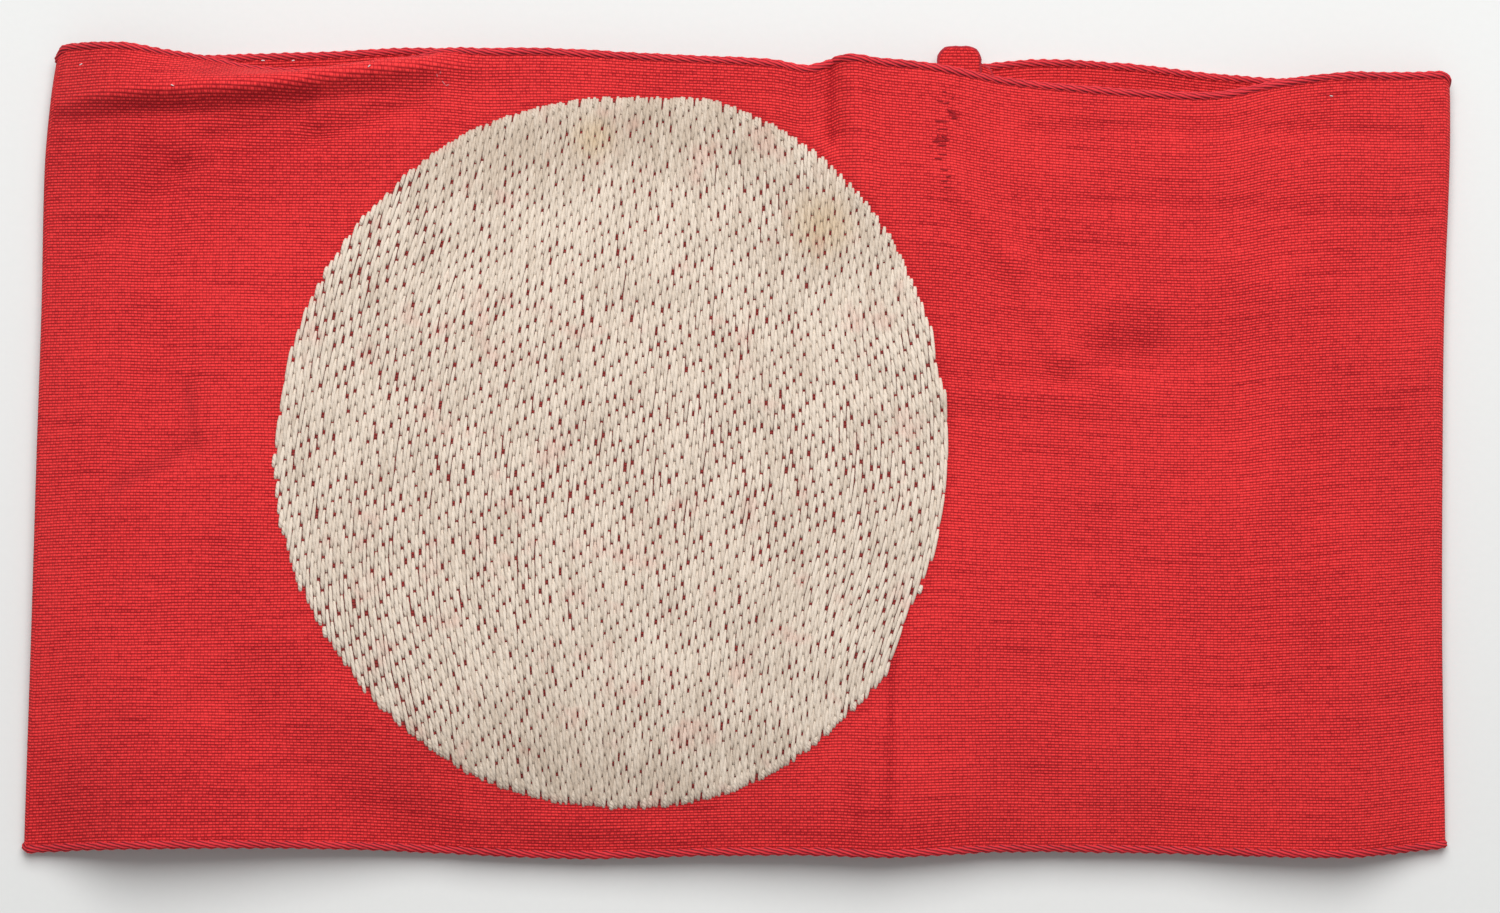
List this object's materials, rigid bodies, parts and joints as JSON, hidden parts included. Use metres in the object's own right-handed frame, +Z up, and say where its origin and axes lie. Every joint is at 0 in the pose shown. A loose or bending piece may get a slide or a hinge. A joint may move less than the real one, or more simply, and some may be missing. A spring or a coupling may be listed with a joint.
{
  "type": "cloth armband with a plain embroidered disc",
  "caption": "Looped cotton armband, pressed flat, with overcast long edges and a bare round satin-stitched disc on its front.",
  "frame": {"origin": "centre of the lying band's outline, on the surface that it rests on", "axes": "+X along the flattened loop, to the right seen from the front; +Y towards the band's upper edge; +Z up, out of the front"},
  "size_m": [0.2014, 0.1152, 0.009],
  "materials": {
    "red_cloth": "plain-woven cotton, slightly faded",
    "red_edge_thread": "twisted cotton thread, overcast",
    "cream_thread": "satin-stitched cotton embroidery, slightly soiled"
  },
  "bodies": {
    "root": {"cloth_band": "red_cloth", "overcast_edge_top": "red_edge_thread", "overcast_edge_bottom": "red_edge_thread", "embroidered_disc": "cream_thread", "seam_allowance": "red_cloth"}
  },
  "joints": []
}
